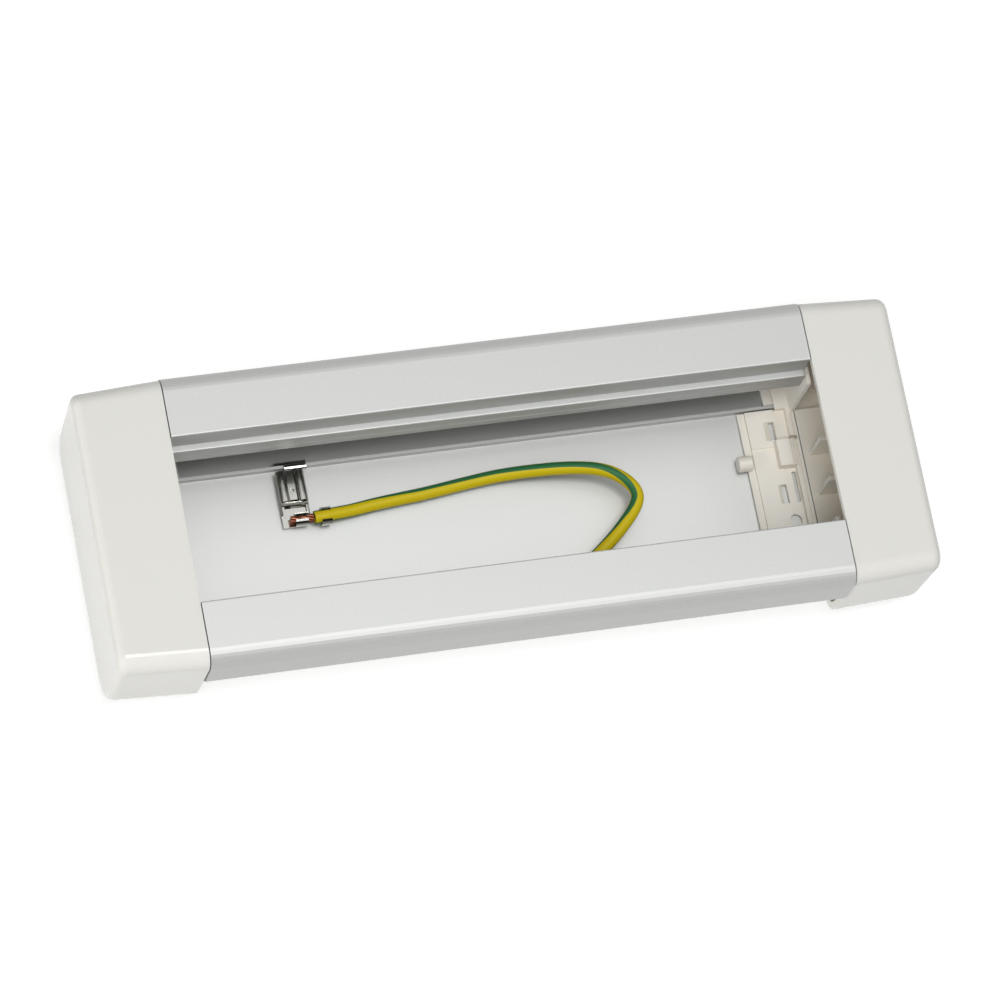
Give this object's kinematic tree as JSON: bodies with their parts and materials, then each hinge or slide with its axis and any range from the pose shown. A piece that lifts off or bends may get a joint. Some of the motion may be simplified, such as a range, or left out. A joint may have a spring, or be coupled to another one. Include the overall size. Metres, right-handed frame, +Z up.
{
  "type": "desktop socket block",
  "caption": "Empty desktop socket housing: brushed aluminium profile with an open device channel, white moulded end caps and an earth lead clipped to a floor rib.",
  "frame": {"origin": "on the desk, under the middle of the housing", "axes": "+X along the profile towards the cable entry, +Y across it towards the earth clip's rib, +Z up, out of the device channel"},
  "size_m": [0.221, 0.0796, 0.0365],
  "materials": {
    "anodised_aluminium": "brushed and clear anodised, satin",
    "white_plastic": "smooth moulded, half gloss",
    "inner_plastic": "smooth moulded, unpainted",
    "zinc_plate": "bright zinc plated steel",
    "black_rubber": "matt",
    "nickel_plate": "bright nickel plated sheet",
    "copper": "bare stranded copper",
    "earth_insulation": "yellow with a green stripe",
    "ferrule_collar": "blue collar with a tinned tube"
  },
  "bodies": {
    "root": {"housing_profile": "anodised_aluminium", "end_cap_right": "white_plastic", "end_cap_left": "white_plastic", "end_plate_right": "inner_plastic", "end_plate_left": "inner_plastic", "plate_screw_right_far": "zinc_plate", "plate_screw_right_near": "zinc_plate", "plate_screw_left_far": "zinc_plate", "plate_screw_left_near": "zinc_plate", "cap_screw_right_far": "zinc_plate", "cap_screw_right_near": "zinc_plate", "cap_screw_left_far": "zinc_plate", "cap_screw_left_near": "zinc_plate", "foot_right_far": "black_rubber", "foot_right_near": "black_rubber", "foot_left_far": "black_rubber", "foot_left_near": "black_rubber", "cable_grommet": "black_rubber", "earth_clip": "nickel_plate", "earth_receptacle": "nickel_plate", "earth_strands": "copper", "earth_lead": "earth_insulation", "lead_ferrule": "ferrule_collar"}
  },
  "joints": []
}
